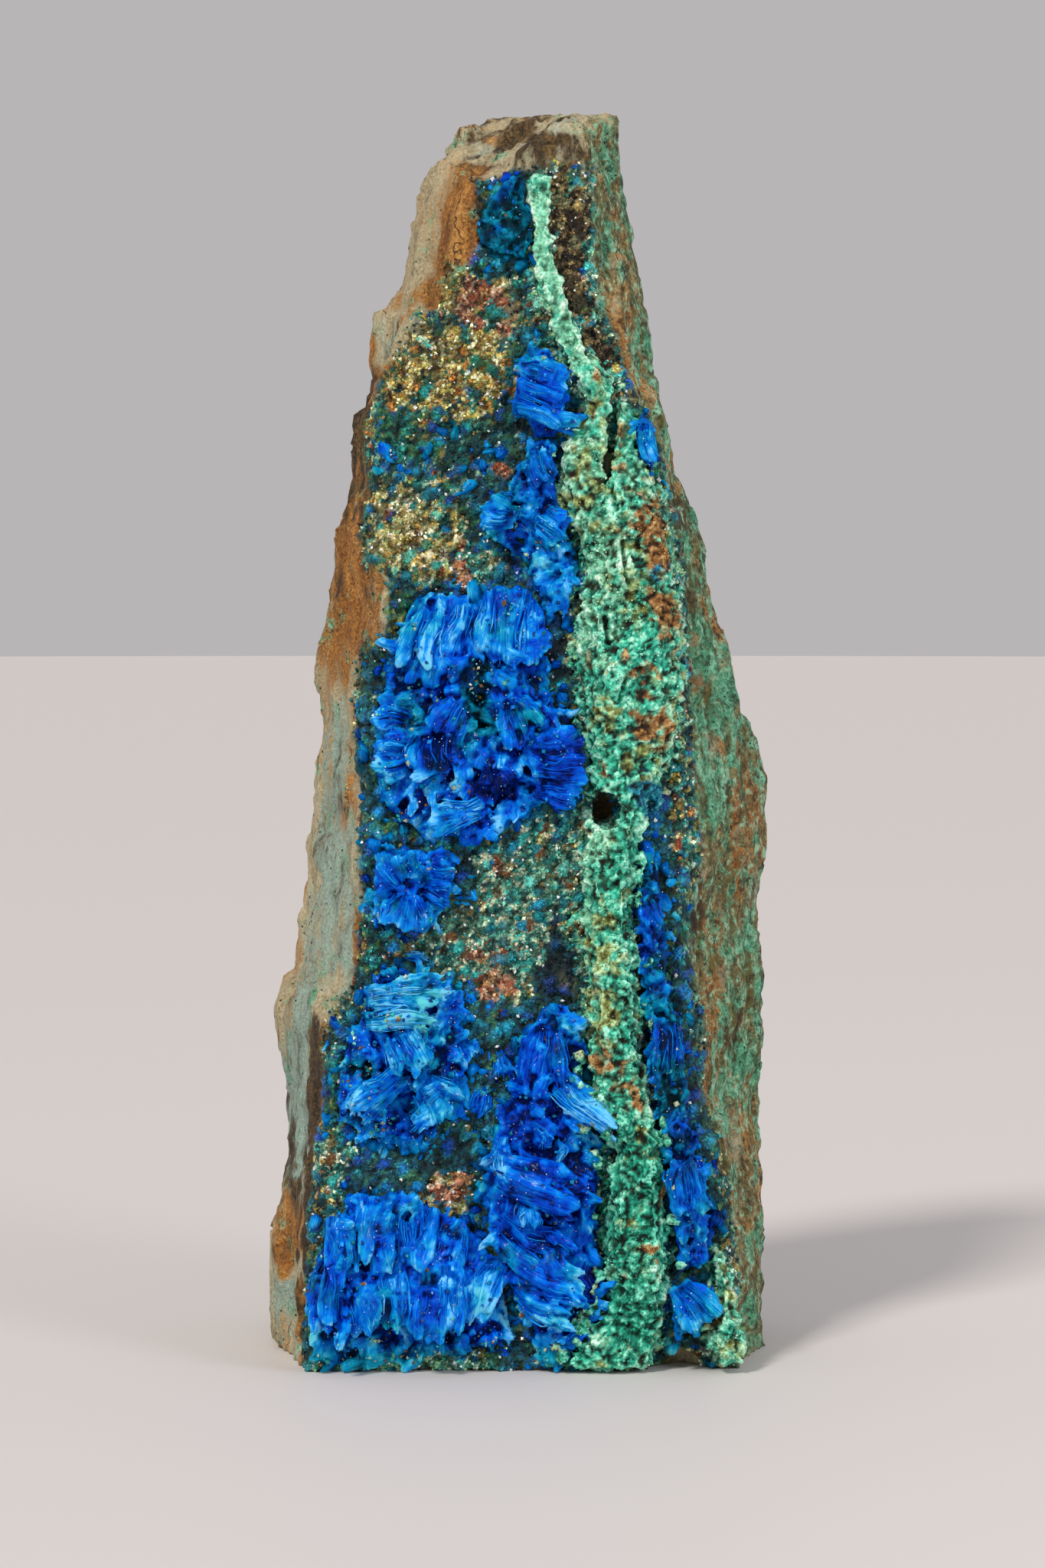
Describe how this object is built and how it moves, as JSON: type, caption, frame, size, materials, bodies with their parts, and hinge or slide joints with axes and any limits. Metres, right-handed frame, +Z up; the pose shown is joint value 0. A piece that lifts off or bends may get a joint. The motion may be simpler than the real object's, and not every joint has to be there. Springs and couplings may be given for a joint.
{
  "type": "chalcanthite specimen",
  "caption": "Upright wedge of host rock with blue fibrous chalcanthite crystals and a granular green crust down its front, standing on a flat base.",
  "frame": {"origin": "under the middle of the bounding box, on the flat base that it stands on", "axes": "+Z up along the wedge, -Y out of the face that carries the crystals, +X to the right of that face"},
  "size_m": [0.0592, 0.0498, 0.145],
  "materials": {
    "host_rock": "rough broken rock, tan and rust with green stains",
    "green_crust": "dull granular crust",
    "chalcanthite": "silky to glassy fibres"
  },
  "bodies": {
    "root": {"matrix_rock": "host_rock", "green_rib": "green_crust", "green_foot": "green_crust", "chalcanthite_top": "chalcanthite", "chalcanthite_upper_tuft": "chalcanthite", "chalcanthite_upper_seam": "chalcanthite", "chalcanthite_main": "chalcanthite", "chalcanthite_left": "chalcanthite", "chalcanthite_lower_left": "chalcanthite", "chalcanthite_lower": "chalcanthite", "chalcanthite_right_tuft": "chalcanthite", "chalcanthite_right_seam": "chalcanthite", "chalcanthite_right_foot": "chalcanthite"}
  },
  "joints": []
}
